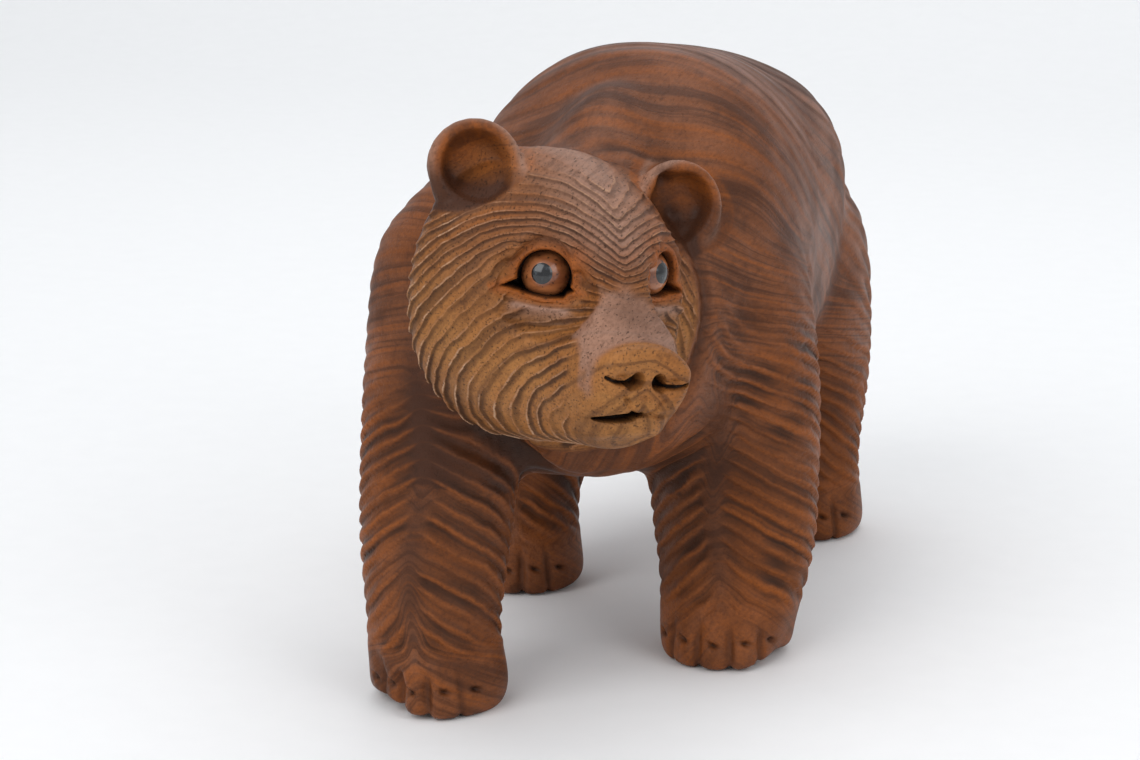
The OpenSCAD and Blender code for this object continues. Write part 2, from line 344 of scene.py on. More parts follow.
def stroke_gradient(p, n):
    """Wanted change of the stroke count per mm over the skin, and how firmly it is wanted."""
    up = np.array([0.0, 0.0, 1.0])
    zt = up - n * n[:, 2:3]
    around = np.cross(up, n)
    h = to_head(p)
    face = head_mask(h)
    # torso: strokes run outward from the spine, and sweep down and back along the flanks
    side = np.where(p[:, 0] > -1.0, 1.0, -1.0)
    level = ramp(p[:, 2], 172, 120)
    fore = 1 - ramp(p[:, 1], -60, 20)
    flow = np.stack([side * (1 - 0.9 * level), 0.05 + 0.8 * level, -0.25 - (0.3 + 0.3 * fore) * level], 1)
    flow = unit(flow - n * (flow * n).sum(1, keepdims=True))
    g = side[:, None] * np.cross(n, flow) / BODY_PITCH
    firm = np.full(len(p), 0.6)
    for _, w, s in leg_side(p):
        slope = np.radians(np.where(s > 0, 17 + 14 * ramp(p[:, 2], 55, 30), 48.0))
        gl = (np.cos(slope)[:, None] * zt + (s * np.sin(slope))[:, None] * around) / LEG_PITCH
        g = g * (1 - w[:, None]) + gl * w[:, None]
        firm = np.maximum(firm, w)
    # the face has a flow of its own, in head coordinates
    nh = n @ HEAD
    zth = up - nh * nh[:, 2:3]
    arh = np.cross(up, nh)
    a = face_angle(h)
    s = np.where(h[:, 0] > 0, 1.0, -1.0)
    gf = from_head((np.cos(a)[:, None] * zth - (s * np.sin(a))[:, None] * arh)) / (
        FACE_PITCH + 0.6 * ramp(h[:, 2], 14, -15))[:, None]
    g = g * (1 - face[:, None]) + gf * face[:, None]
    firm = np.maximum(firm, face)
    eye = eye_zone(h, 1.35)
    firm = firm * (1 - 0.97 * eye)
    # strokes are let go around the eyes and where the face meets the neck
    edge = bump(h[:, 1], 2.5, 3.0) * (np.abs(h[:, 0]) < 55) * (np.abs(h[:, 2]) < 50)
    firm = firm * (1 - 0.9 * edge)
    return g, firm


def eye_zone(h, size):
    """1 inside an ellipse around either eye's lids."""
    out = np.zeros(len(h))
    for s in EYES:
        e = eye_coords(h, s)
        tall = np.where(e[:, 1] > 0, 7.4, 8.0) * size
        r = np.sqrt((e[:, 0] / (9.2 * size)) ** 2 + (e[:, 1] / tall) ** 2)
        out = np.maximum(out, (1 - ramp(r, 0.88, 1.06)) * (e[:, 2] > -4))
    return out


def far_groove(h):
    """1 in the groove that parts the left cheek from the neck."""
    ring = np.sqrt((h[:, 0] / 36) ** 2 + (h[:, 2] / 45) ** 2)
    return bump(ring, 1.06, 0.06) * ramp(h[:, 0], 16, 24) * ramp(h[:, 1], 3, 0) * ramp(h[:, 1], -40, -30)


def ear_coords(h, s):
    """Distance across an ear from its middle, its facing direction, and height in the ear."""
    tip, lean, turn = (math.radians(v) for v in (EAR_TIP, s * EAR_LEAN, EAR_TURN[s]))
    cx, sx, cy, sy = math.cos(tip), math.sin(tip), math.cos(lean), math.sin(lean)
    cz, sz = math.cos(turn), math.sin(turn)
    axes = (np.array([[cz, -sz, 0], [sz, cz, 0], [0, 0, 1]])
            @ np.array([[cy, 0, sy], [0, 1, 0], [-sy, 0, cy]])
            @ np.array([[1, 0, 0], [0, cx, -sx], [0, sx, cx]]))
    reach, back, lift = EARS[s]
    local = (h - np.array([s * reach, back, lift])) @ axes
    return local[:, 0], -axes[:, 1], local[:, 2]


def eye_coords(h, s):
    """Eye-local coordinates: outward from the nose, up, and along the gaze."""
    c, sn = math.cos(s * EYE_SPLAY), math.sin(s * EYE_SPLAY)
    d = h - EYES[s]
    gaze = np.array([sn, -c, 0.0])
    out = np.array([c, sn, 0.0]) * s
    return np.stack([d @ out, d[:, 2], d @ gaze], 1)


def solve_strokes(co, tri, n):
    """Stroke count at each vertex whose change along the edges is nearest the wanted one."""
    e = edges_of(tri)
    g, firm = stroke_gradient(co, n)
    step = co[e[:, 1]] - co[e[:, 0]]
    want = (0.5 * (g[e[:, 0]] + g[e[:, 1]]) * step).sum(1)
    w = 0.5 * (firm[e[:, 0]] + firm[e[:, 1]]) / (np.linalg.norm(step, axis=1) ** 2 + 0.1)
    count = len(co)

    def spread(values):
        return np.bincount(e[:, 1], values, count) - np.bincount(e[:, 0], values, count)

    diag = np.bincount(e[:, 0], w, count) + np.bincount(e[:, 1], w, count) + 1e-6
    b = spread(w * want)
    x = co[:, 2] / 5.0
    r = b - spread(w * (x[e[:, 1]] - x[e[:, 0]]))
    z = r / diag
    p = z.copy()
    rz = r @ z
    for _ in range(SOLVER_STEPS):
        ap = spread(w * (p[e[:, 1]] - p[e[:, 0]]))
        a = rz / (p @ ap + 1e-30)
        x = x + a * p
        r = r - a * ap
        z = r / diag
        new = r @ z
        if new < 1e-13 * count:
            break
        p = z + new / rz * p
        rz = new
    return x


def carry(coarse, tri, values, points):
    """Values on the coarse mesh, carried to points by the nearest triangle."""
    tree = BVHTree.FromPolygons([Vector(c) for c in coarse], tri.tolist(), all_triangles=True)
    face = np.empty(len(points), np.int64)
    near = np.empty((len(points), 3))
    for i, p in enumerate(points):
        hit, _, k, _ = tree.find_nearest(p)
        face[i] = k
        near[i] = hit
    t = tri[face]
    a, b, c = coarse[t[:, 0]], coarse[t[:, 1]], coarse[t[:, 2]]
    v0, v1, v2 = b - a, c - a, near - a
    d00, d01, d11 = (v0 * v0).sum(1), (v0 * v1).sum(1), (v1 * v1).sum(1)
    d20, d21 = (v2 * v0).sum(1), (v2 * v1).sum(1)
    den = np.maximum(d00 * d11 - d01 * d01, 1e-12)
    v = (d11 * d20 - d01 * d21) / den
    w = (d00 * d21 - d01 * d20) / den
    u = 1 - v - w
    return u * values[t[:, 0]] + v * values[t[:, 1]] + w * values[t[:, 2]]


# ---------------------------------------------------------------- carving by hand

def eye_opening(e):
    """How far inside the lids' edge a point in eye coordinates lies, in mm; below 0 outside it."""
    a, b = e[:, 0], e[:, 1]
    out = a > 0
    end = np.where(out, 10.6, 8.2)
    middle = np.where(out, -2.0 - 0.2 * a, -2.7)
    half = np.where(out, 0.36, 0.65) * np.clip(end - np.abs(a), -9, 5)
    wedge = np.minimum(half, 1.9) - np.abs(b - middle)
    circle = 7.25 - np.hypot(a, b + 0.6)
    upper = 10.6 * np.clip(1 - (a / end) ** 2, 0, 1) ** 0.75 - 4.0
    lower = -5.4 + np.clip(np.abs(a) / end, 0, 1.3) ** 2
    return np.minimum(np.maximum(circle, wedge), b - lower), upper, lower


def nostril_line(u):
    """Height of a nostril's middle line, from its hole at u = 0 to its outer end at u = 1."""
    return NOSTRIL_HEIGHT + 0.5 * u - 0.9 * np.sin(math.pi * u) + 0.5 * (1 - ramp(u, 0, 0.35))


def nostril_half(u):
    """Half its height: a round hole at u = 0 with a thin tail."""
    return 0.6 + 1.5 * (1 - ramp(u, 0.1, 0.36))


def lip_line(x):
    return -23.3 + 0.1 * x - 0.012 * (x - 1) ** 2


def mouth_slit(x, z):
    """1 in the open part of the mouth, which lies mostly on the bear's right."""
    half = 1.25 * np.sqrt(np.clip(1 - ((x + 4.5) / 6.2) ** 2, 0, 1))
    return ramp(np.abs(z - lip_line(x)), half + 0.3, half - 0.35) * (half > 0)


def sculpt_face(co, n):
    h = to_head(co)
    nh = n @ HEAD
    move = np.zeros_like(co)
    for s in EYES:
        e = eye_coords(h, s)
        front = ramp(e[:, 2], -3, 0) * (np.hypot(e[:, 0], e[:, 1]) < 17)
        c, sn = math.cos(s * EYE_SPLAY), math.sin(s * EYE_SPLAY)
        gaze = np.array([sn, -c, 0.0])
        inside, upper, lower = eye_opening(e)
        a, b = e[:, 0], e[:, 1]
        near = (1 - ramp(np.abs(a - 0.5), 8.5, 12)) * front
        rim = bump(inside, -1.1, 0.9) * near
        crease = -0.75 * bump(b - np.maximum(upper, -1), 3.1, 0.8) * near * (b > 0)
        brow = 1.1 * bump(b - np.maximum(upper, -1), 6.0, 2.2) * near * (b > 0)
        pouch = 1.6 * bump(b - lower, -3.9, 1.3) * near * (b < 0)
        under = -0.7 * bump(b - lower, -6.4, 1.1) * near * (b < 0)
        move += nh * (rim + crease + brow + pouch + under)[:, None]
        # inside the lids the skin goes down behind the eyeball
        ball = np.sqrt(np.maximum(SOCKET_RADIUS ** 2 - a ** 2 - b ** 2, 0)) - 3.0
        sink = ramp(inside, -0.25, 0.45) * front
        target = np.minimum(ball - e[:, 2], 0)
        move = move * (1 - sink[:, None]) + gaze * (target * sink)[:, None]
    for s in EARS:
        across, facing, height = ear_coords(h, s)
        front = ramp(nh @ facing, 0.2, 0.5)
        hollow = 1 - ramp(np.hypot(across / EAR_HOLLOW[0], height / EAR_HOLLOW[1]), 0.72, 0.92)
        move -= facing * (2.0 * hollow * front * ear_zone(h))[:, None]
    x, y, z = h.T
    ahead = ramp(y, -38, -46)
    into = np.array([0.0, 1.0, 0.0])
    for s in (-1, 1):
        # comma-shaped nostril: a round hole with a thin tail outward
        u = (s * x - NOSTRIL_START) / NOSTRIL_LENGTH
        line = nostril_line(np.clip(u, 0, 1))
        width = nostril_half(np.clip(u, 0, 1))
        past = np.clip(-u, 0, None) * NOSTRIL_LENGTH + np.clip(u - 1, 0, None) * NOSTRIL_LENGTH
        d = np.hypot(past, z - line)
        hole = (1 - ramp(d, width * 0.55, width * 1.25)) * ahead * (s * x > 0)
        deep = 1.6 + 3.9 * (1 - ramp(u, 0.1, 0.5))
        move += into * (hole * deep)[:, None]
        wing = 0.9 * bump(s * x, 9.0, 3.8) * bump(z, NOSTRIL_HEIGHT + 3.6, 1.9) * ahead
        move += nh * wing[:, None]
        fold = -0.9 * bump(s * x - 0.85 * (z + 25), 0.5, 0.9) * ramp(z, -25.5, -23)
        move += nh * (fold * ramp(z, -17.5, -19) * ahead)[:, None]
    lips = lip_line(x)
    slit = mouth_slit(x, z) * ahead
    move += into * (3.6 * slit)[:, None]
    crease = bump(z, lips, 0.6) * ramp(x, -15, -12) * ramp(x, 10, 7) * ahead
    move += into * (0.9 * crease)[:, None]
    philtrum = -0.5 * bump(x, 0, 0.9) * ramp(z, -26, -24.5) * ramp(z, -16, -18) * ahead
    lip = 0.8 * bump(z - lips, 2.2, 1.4) * ramp(np.abs(x), 13, 9) * ahead
    chin = 1.8 * bump(z - lips, -4.0, 2.6) * ramp(np.abs(x), 13, 6) * ahead
    pad_edge = -0.35 * bump(z, -20.3 + 0.02 * x ** 2, 0.9) * ramp(np.abs(x), 11, 8) * ahead
    move += nh * (philtrum + lip + chin + pad_edge)[:, None]
    # the ruff: a raised edge, then a cut down to the neck
    ring = np.sqrt((x / 46) ** 2 + (z / 42) ** 2)
    low_sides = ramp(z, 30, 12)
    ruff = (1.5 * ramp(y, -10, -1) * ramp(y, 1.6, 0.4) - 1.6 * bump(y, 4.0, 2.6)) * low_sides
    move += nh * (ruff * ramp(ring, 0.75, 0.9) * ramp(ring, 1.3, 1.2))[:, None]
    move -= nh * (1.8 * far_groove(h))[:, None]
    return co + from_head(move)


def toe_marks(p):
    """The grooves between the toes, and the claw nicks, as 0 to 1 at points of the skin."""
    grooves, nicks = np.zeros(len(p)), np.zeros(len(p))
    for cx, cy, _ in LEGS.values():
        around = np.degrees(np.arctan2(p[:, 0] - cx, cy - p[:, 1]))
        near = np.hypot((p[:, 0] - cx) / 24, (p[:, 1] - cy) / 28) < 1
        for k in range(4):
            line = (k - 1.5) * TOE_SPACING * (1 - 0.004 * p[:, 2])
            grooves = np.maximum(grooves, bump(around, line, 3.2) * ramp(p[:, 2], 17, 9) * near)
        for k in range(5):
            claw = (k - 2) * CLAW_SPACING
            height = 8.4 + 0.5 * (k % 2) - 0.1 * (around - claw)
            nicks = np.maximum(nicks, bump(around, claw, 5.0) * bump(p[:, 2], height, 0.8) * near)
    return grooves, nicks


def sculpt_paws(co, n):
    grooves, nicks = toe_marks(co)
    return co - n * (grooves + 1.8 * nicks)[:, None]


def stroke_depth(p):
    """Depth of the strokes in mm at points of the skin, and the tones there: staining, painted shade and
    painted highlight.
    """
    h = to_head(p)
    x, y, z = h.T
    face = head_mask(h)
    scallop = 1.5 * lattice_noise(p, 3.2, 8)
    muzzle_top = ramp(y + scallop, -37, -40) * ramp(np.abs(x) + scallop, 16, 14) * ramp(z + scallop, -21, -18)
    smooth = np.maximum(eye_zone(h, 1.3), muzzle_top)
    smooth = np.maximum(smooth, ramp(y, -48, -52))
    smooth = np.maximum(smooth, ramp(y, -41, -45) * ramp(np.abs(x), 18, 15))
    smooth = np.maximum(smooth, ramp(np.abs(x), 13, 9) * ramp(z, -23, -26) * ramp(y, -38, -42))
    between = bump(x, 0, 7) * bump(z, 2, 9) * ramp(y, -20, -28)
    on_face = face * (1 - smooth) * (1 - ear_zone(h)) * (1 - 0.35 * np.clip(between, 0, 1))
    crown = np.maximum(ramp(z, 38, 45), ramp(z, 29, 35) * ramp(y, -28, -20))
    depth = 0.75 * on_face * (1 - 0.8 * crown) * (1 + 0.9 * ramp(y, -14, -2))
    ears = ear_zone(h)
    legs = np.zeros(len(p))
    ridge = np.zeros(len(p))
    for name, w, _ in leg_side(p):
        cy = LEGS[name][1]
        paw = ramp(p[:, 2], 14, 22)
        legs = np.maximum(legs, w * paw)
        line = ridge_line(name, p[:, 2])
        band = bump(p[:, 0], line, 2.6) * (p[:, 1] < cy + 4) * w
        legs = legs * (1 - 0.9 * band)
        ridge = np.maximum(ridge, w * bump(p[:, 0], line, 4.5) * (p[:, 1] < cy))
    off_face = (1 - face) * (1 - ears)
    depth = np.maximum(depth, 1.5 * legs * off_face)
    back = 0.42 + 0.2 * lattice_noise(p, 30, 11) + 0.6 * ramp(p[:, 1], 60, 110)
    depth = np.maximum(depth, np.clip(back, 0, 1) * off_face * ramp(p[:, 2], 12, 22))
    return depth, stain_tones(p, h, face, ears, legs, ridge, muzzle_top)


def stain_tones(p, h, face, ears, legs, ridge, muzzle_top):
    """How strongly each tone shows, from 0 to 1, at points of the skin: tones of the staining, and painted
    shade and painted highlight.
    """
    x, y, z = h.T
    patch = lattice_noise(p, 22, 21)
    grooves, nicks = toe_marks(p)
    lids = np.zeros(len(p))
    crest = np.zeros(len(p))
    black = np.zeros(len(p))
    for s in EYES:
        e = eye_coords(h, s)
        inside, _, lower = eye_opening(e)
        front = ramp(e[:, 2], -6, -3) * (np.hypot(e[:, 0], e[:, 1]) < 15)
        # painted shade: the skin sunk inside the lids, around each eyeball, is painted near black
        black = np.maximum(black, ramp(inside, -0.5, 0.2) * front)
        lids = np.maximum(lids, ramp(inside, -3.4, -0.8) * front)
        # painted highlight: the crest under each lower lid is tinted light mauve
        crest = np.maximum(crest, bump(e[:, 1] - lower, -4.0, 1.3) * ramp(np.abs(e[:, 0]), 10, 7) * front)
        lids = np.maximum(lids, bump(e[:, 0], -7, 3.5) * bump(e[:, 1], 5, 4) * front)
    pad = ramp(y, -50, -54) * ramp(z, -23, -21) * face
    holes = np.zeros(len(p))
    for s in (-1, 1):
        u = np.clip((s * x - NOSTRIL_START) / NOSTRIL_LENGTH, 0, 1)
        line = nostril_line(u)
        past = (np.clip(NOSTRIL_START - s * x, 0, None)
                + np.clip(s * x - NOSTRIL_START - NOSTRIL_LENGTH, 0, None))
        d = np.hypot(past, z - line)
        half = nostril_half(u)
        # painted shade in the nostril holes
        holes = np.maximum(holes, ramp(d, half, 0.5 * half) * ramp(y, -36, -42))
    # painted shade in the mouth slit
    slit = mouth_slit(x, z) * ramp(y, -38, -44)
    low_face = ramp(z, 22, -22)
    flank = ramp(p[:, 2], 60, 100) * (1 - face)
    side_of_leg = legs * (1 - 0.8 * ridge) * (1 - face)
    # painted shadow on the neck under the ruff's overhang
    under = ramp(y, 2, 5) * ramp(z, 34, 20) * ramp(y, 30, 12) * (np.abs(x) < 60) * (np.abs(z) < 60)
    brow = bump(x, -2, 14) * ramp(z, 8, 20)
    seam = bump(x, 0, 8) * bump(z, 2, 7) * ramp(y, -18, -26)
    border = ramp(np.sqrt((x / 44) ** 2 + (z / 41) ** 2), 0.78, 0.98)
    rims = np.zeros(len(p))
    hollow_shade = np.zeros(len(p))
    for s in EARS:
        across, _, height = ear_coords(h, s)
        around_ear = bump(np.hypot(across / 12.5, height / 14), 0.98, 0.1)
        rims = np.maximum(rims, around_ear * ramp(height, -8, -2))
        # painted shade in each ear's hollow
        inside_ear = bump(np.hypot(across / EAR_HOLLOW[0], height / EAR_HOLLOW[1]), 0.72, 0.2)
        hollow_shade = np.maximum(hollow_shade, inside_ear * ears)
    rims = rims * ears
    # the legs' inner sides are darker: partly staining, partly painted shade
    inner_leg = legs * (ramp(p[:, 0], -36, -26) * (p[:, 0] < 0) + ramp(p[:, 0], 36, 26) * (p[:, 0] >= 0))
    return {
        "tone_soft": np.clip(1 - face, 0, 1),
        "tone_plain": np.clip((1 - face) * (1 - 0.5 * legs), 0, 1),
        "tone_orange": np.clip(
            0.45 * side_of_leg + 0.85 * ears + 0.25 * face + 0.25 * patch * flank + 0.35 * pad
            + 0.25 * (1 - face) * ramp(p[:, 2], 30, 14), 0, 1),
        "tone_ochre": np.clip(
            face * (0.25 + 0.65 * low_face + 0.25 * patch) * (1 - 0.7 * muzzle_top) + 0.5 * pad, 0, 1),
        # mauve on the muzzle top and ear rims is colour; on the brow it is partly painted highlight, and on
        # the lid crests it is painted highlight
        "tone_mauve": np.clip(
            (0.75 * muzzle_top * (1 - pad) + 0.8 * brow + 0.9 * crest) * face + 0.7 * rims, 0, 1),
        "tone_lid": np.clip(0.8 * lids * face, 0, 1),
        # dust on the stroke crests, and a painted highlight there; more on the brow and the face's border
        "tone_dust_and_highlight": np.clip(
            face * (0.3 + 0.25 * low_face + 0.5 * brow + 0.6 * border) + 0.12 * legs, 0, 1),
        # darker tone: staining on the leg ridges, ear bases, patches and bridge seam; painted shade in the
        # toe grooves, the groove by the left cheek, the ear hollows and on the neck under the ruff; partly
        # painted shade on the legs' inner sides
        "tone_dark_and_shade": np.clip(
            0.6 * ridge * ramp(p[:, 2], 16, 34) + 0.85 * ears * ramp(z, 33, 24) + 0.35 * inner_leg
            + 0.6 * under + 0.3 * patch * flank + 0.45 * seam * face + 0.3 * patch * face
            + 0.8 * far_groove(h) + 0.4 * hollow_shade + 0.6 * grooves, 0, 1),
        # painted shade, near black, in the eye gaps, nostrils, mouth slit and claw nicks
        "tone_hole_shade": np.clip(np.maximum(np.maximum(black, holes), np.maximum(slit, 0.85 * nicks)), 0, 1),
    }


def ear_zone(h):
    out = np.zeros(len(h))
    for side, (reach, _, lift) in EARS.items():
        d = np.sqrt((h[:, 0] - side * (reach + 1)) ** 2 + (h[:, 1] * 1.2) ** 2 + (h[:, 2] - lift - 2) ** 2)
        out = np.maximum(out, 1 - ramp(d, 16.5, 18.5))
    return out


# ---------------------------------------------------------------- build

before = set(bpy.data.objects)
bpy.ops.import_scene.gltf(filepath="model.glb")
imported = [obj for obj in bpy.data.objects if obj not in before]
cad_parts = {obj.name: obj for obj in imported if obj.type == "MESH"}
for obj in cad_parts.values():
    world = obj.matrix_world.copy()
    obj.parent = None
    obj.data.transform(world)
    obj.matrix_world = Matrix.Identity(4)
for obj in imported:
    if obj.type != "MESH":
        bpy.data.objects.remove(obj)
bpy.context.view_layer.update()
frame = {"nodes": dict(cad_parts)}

grid, low = base_form(frame)
coarse_co, coarse_tri = surface(
    gaussian(grid, 0.8)[::2, ::2, ::2], BODY_VOXEL * 2, low)
coarse_n = vertex_normals(coarse_co, coarse_tri)
phase0 = solve_strokes(coarse_co, coarse_tri, coarse_n)

co, tri = surface(grid, BODY_VOXEL, low)
h = to_head(co)
fine = (h[:, 1] < 5) & (np.abs(h[:, 0]) < 50) & (np.abs(h[:, 2]) < 50)
for cx, cy, _ in LEGS.values():
    fine |= (co[:, 2] < 20) & (co[:, 1] < cy + 6) & (np.hypot(co[:, 0] - cx, co[:, 1] - cy) < 30)
co, tri = split_edges(co, tri, fine)
h = to_head(co)
co, tri = split_edges(co, tri, (eye_zone(h, 1.45) > 0.1) | (h[:, 1] < -42) & (h[:, 2] > -36))
for _ in range(2):
    g = gradient(grid, BODY_VOXEL, low, co, 0.7)
    v = sample(grid, BODY_VOXEL, low, co)
    gn = np.linalg.norm(g, axis=1) / 1.4
    co = co - unit(g) * (v / np.maximum(gn, 0.3))[:, None]
n = unit(gradient(grid, BODY_VOXEL, low, co, 0.7))
phase = carry(coarse_co, coarse_tri, phase0, co)
skin = co.copy()

co = sculpt_face(co, n)
co = sculpt_paws(co, n)
depth, tones = stroke_depth(skin)
wobble = sum(amount * lattice_noise(skin, cell, seed)
             for amount, cell, seed in ((0.34, 15, 1), (0.2, 6, 2), (0.1, 2.5, 5)))
sway = 0.3 * lattice_noise(skin, 45, 1)
phase += sway + (wobble - sway) * (1 - 0.85 * tones["tone_plain"])
k = np.floor(phase)
t = phase - k
each = 0.55 + 0.45 * (hash01(k, 3) * (1 - t) + hash01(k + 1, 3) * t)
depth = depth * each * (0.8 + 0.35 * lattice_noise(skin, 9, 4))
u = np.where(t < SKEW, 0.5 * t / SKEW, 0.5 + 0.5 * (t - SKEW) / (1 - SKEW))
flute = 4 * u * (1 - u)
gouge = 0.5 - 0.5 * np.cos(2 * math.pi * u)
soft = tones["tone_soft"]
co = co - n * (depth * (flute * (1 - soft) + gouge * soft))[:, None]
co[:, 2] = np.maximum(co[:, 2], 0)  # flat soles


def mesh_object(name, co, tri):
    m = bpy.data.meshes.new(name)
    m.vertices.add(len(co))
    m.vertices.foreach_set("co", (co * MM).astype(np.float32).reshape(-1))
    m.loops.add(len(tri) * 3)
    m.loops.foreach_set("vertex_index", tri.astype(np.int32).reshape(-1))
    m.polygons.add(len(tri))
    m.polygons.foreach_set("loop_start", np.arange(0, len(tri) * 3, 3, dtype=np.int32))
    m.update(calc_edges=True)
    m.validate()
    m.shade_smooth()
    o = bpy.data.objects.new(name, m)
    bpy.context.scene.collection.objects.link(o)
    return o


def attribute(obj, name, values):
    a = obj.data.attributes.new(name, "FLOAT", "POINT")
    a.data.foreach_set("value", np.ascontiguousarray(values, np.float32))


body = mesh_object("bear_carving", co, tri)
attribute(body, "stroke", phase)
attribute(body, "depth", depth)
for key, values in tones.items():
    attribute(body, key, values)
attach(body, "root")
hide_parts("carved_body")


# ---------------------------------------------------------------- materials

def srgb(r, g, b):
    return tuple(((c / 255 + 0.055) / 1.055) ** 2.4 if c > 10 else c / 3295 for c in (r, g, b))


class Nodes:
    """Short names for building a material's node tree."""

    def __init__(self, name):
        self.material = bpy.data.materials.new(name)
        self.material.use_nodes = True
        self.tree = self.material.node_tree
        self.shader = self.tree.nodes["Principled BSDF"]

    def add(self, kind, inputs=(), **settings):
        node = self.tree.nodes.new(kind)
        for key, value in settings.items():
            setattr(node, key, value)
        for key, value in dict(inputs).items():
            self.put(node.inputs[key], value)
        return node

    def put(self, socket, value):
        if isinstance(value, bpy.types.NodeSocket):
            self.tree.links.new(value, socket)
        elif isinstance(value, tuple) and len(value) == 3 and socket.type == "RGBA":
            socket.default_value = (*value, 1)
        else:
            socket.default_value = value

    def math(self, operation, a, b=0.0, clamp=False):
        return self.add("ShaderNodeMath", {0: a, 1: b}, operation=operation, use_clamp=clamp).outputs[0]

    def attribute(self, name):
        return self.add("ShaderNodeAttribute", attribute_name=name).outputs["Fac"]

    def mix(self, factor, a, b, blend="MIX"):
        node = self.add("ShaderNodeMix", data_type="RGBA", blend_type=blend, clamp_factor=True)
        for key, value in ((0, factor), (6, a), (7, b)):
            self.put(node.inputs[key], value)
        return node.outputs[2]

    def span(self, value, low, high, to_low=0.0, to_high=1.0):
        """value carried from low..high to to_low..to_high with smooth ends."""
        return self.add("ShaderNodeMapRange", {0: value, 1: low, 2: high, 3: to_low, 4: to_high},
                        interpolation_type="SMOOTHSTEP").outputs[0]

    def noise(self, scale, stretch=(1, 1, 1), detail=3.0, rough=0.5, turn=(0, 0, 0)):
        place = self.add("ShaderNodeTexCoord").outputs["Object"]
        mapped = self.add("ShaderNodeMapping", {"Vector": place, "Scale": stretch, "Rotation": turn})
        return self.add("ShaderNodeTexNoise", {"Vector": mapped.outputs[0], "Scale": scale,
                                               "Detail": detail, "Roughness": rough}).outputs["Fac"]

    def bump(self, height, distance, strength=1.0, normal=None):
        node = self.add("ShaderNodeBump", {"Height": height, "Distance": distance, "Strength": strength})
        if normal is not None:
            self.put(node.inputs["Normal"], normal)
        return node.outputs[0]


CHOCOLATE = srgb(118, 72, 46)
DARK = srgb(66, 38, 24)
ORANGE = srgb(150, 80, 26)
OCHRE = srgb(166, 114, 62)
# light dusty tone for the stroke crests: dust, and a painted highlight
DUST_AND_HIGHLIGHT = srgb(186, 148, 118)
MAUVE = srgb(158, 122, 104)
GROOVE = srgb(44, 26, 16)
LID = srgb(156, 84, 32)
# near black for painted shade in holes, gaps and nicks
HOLE_SHADE = srgb(26, 17, 13)
EYE_LIGHT, EYE_DARK, EYE_SPECK = srgb(166, 102, 60), srgb(116, 64, 36), srgb(30, 20, 16)
PUPIL, PUPIL_SCUFF_AND_GLINT = srgb(12, 13, 15), srgb(42, 50, 56)
PAPER = (0.88, 0.885, 0.89), (0.91, 0.915, 0.92)


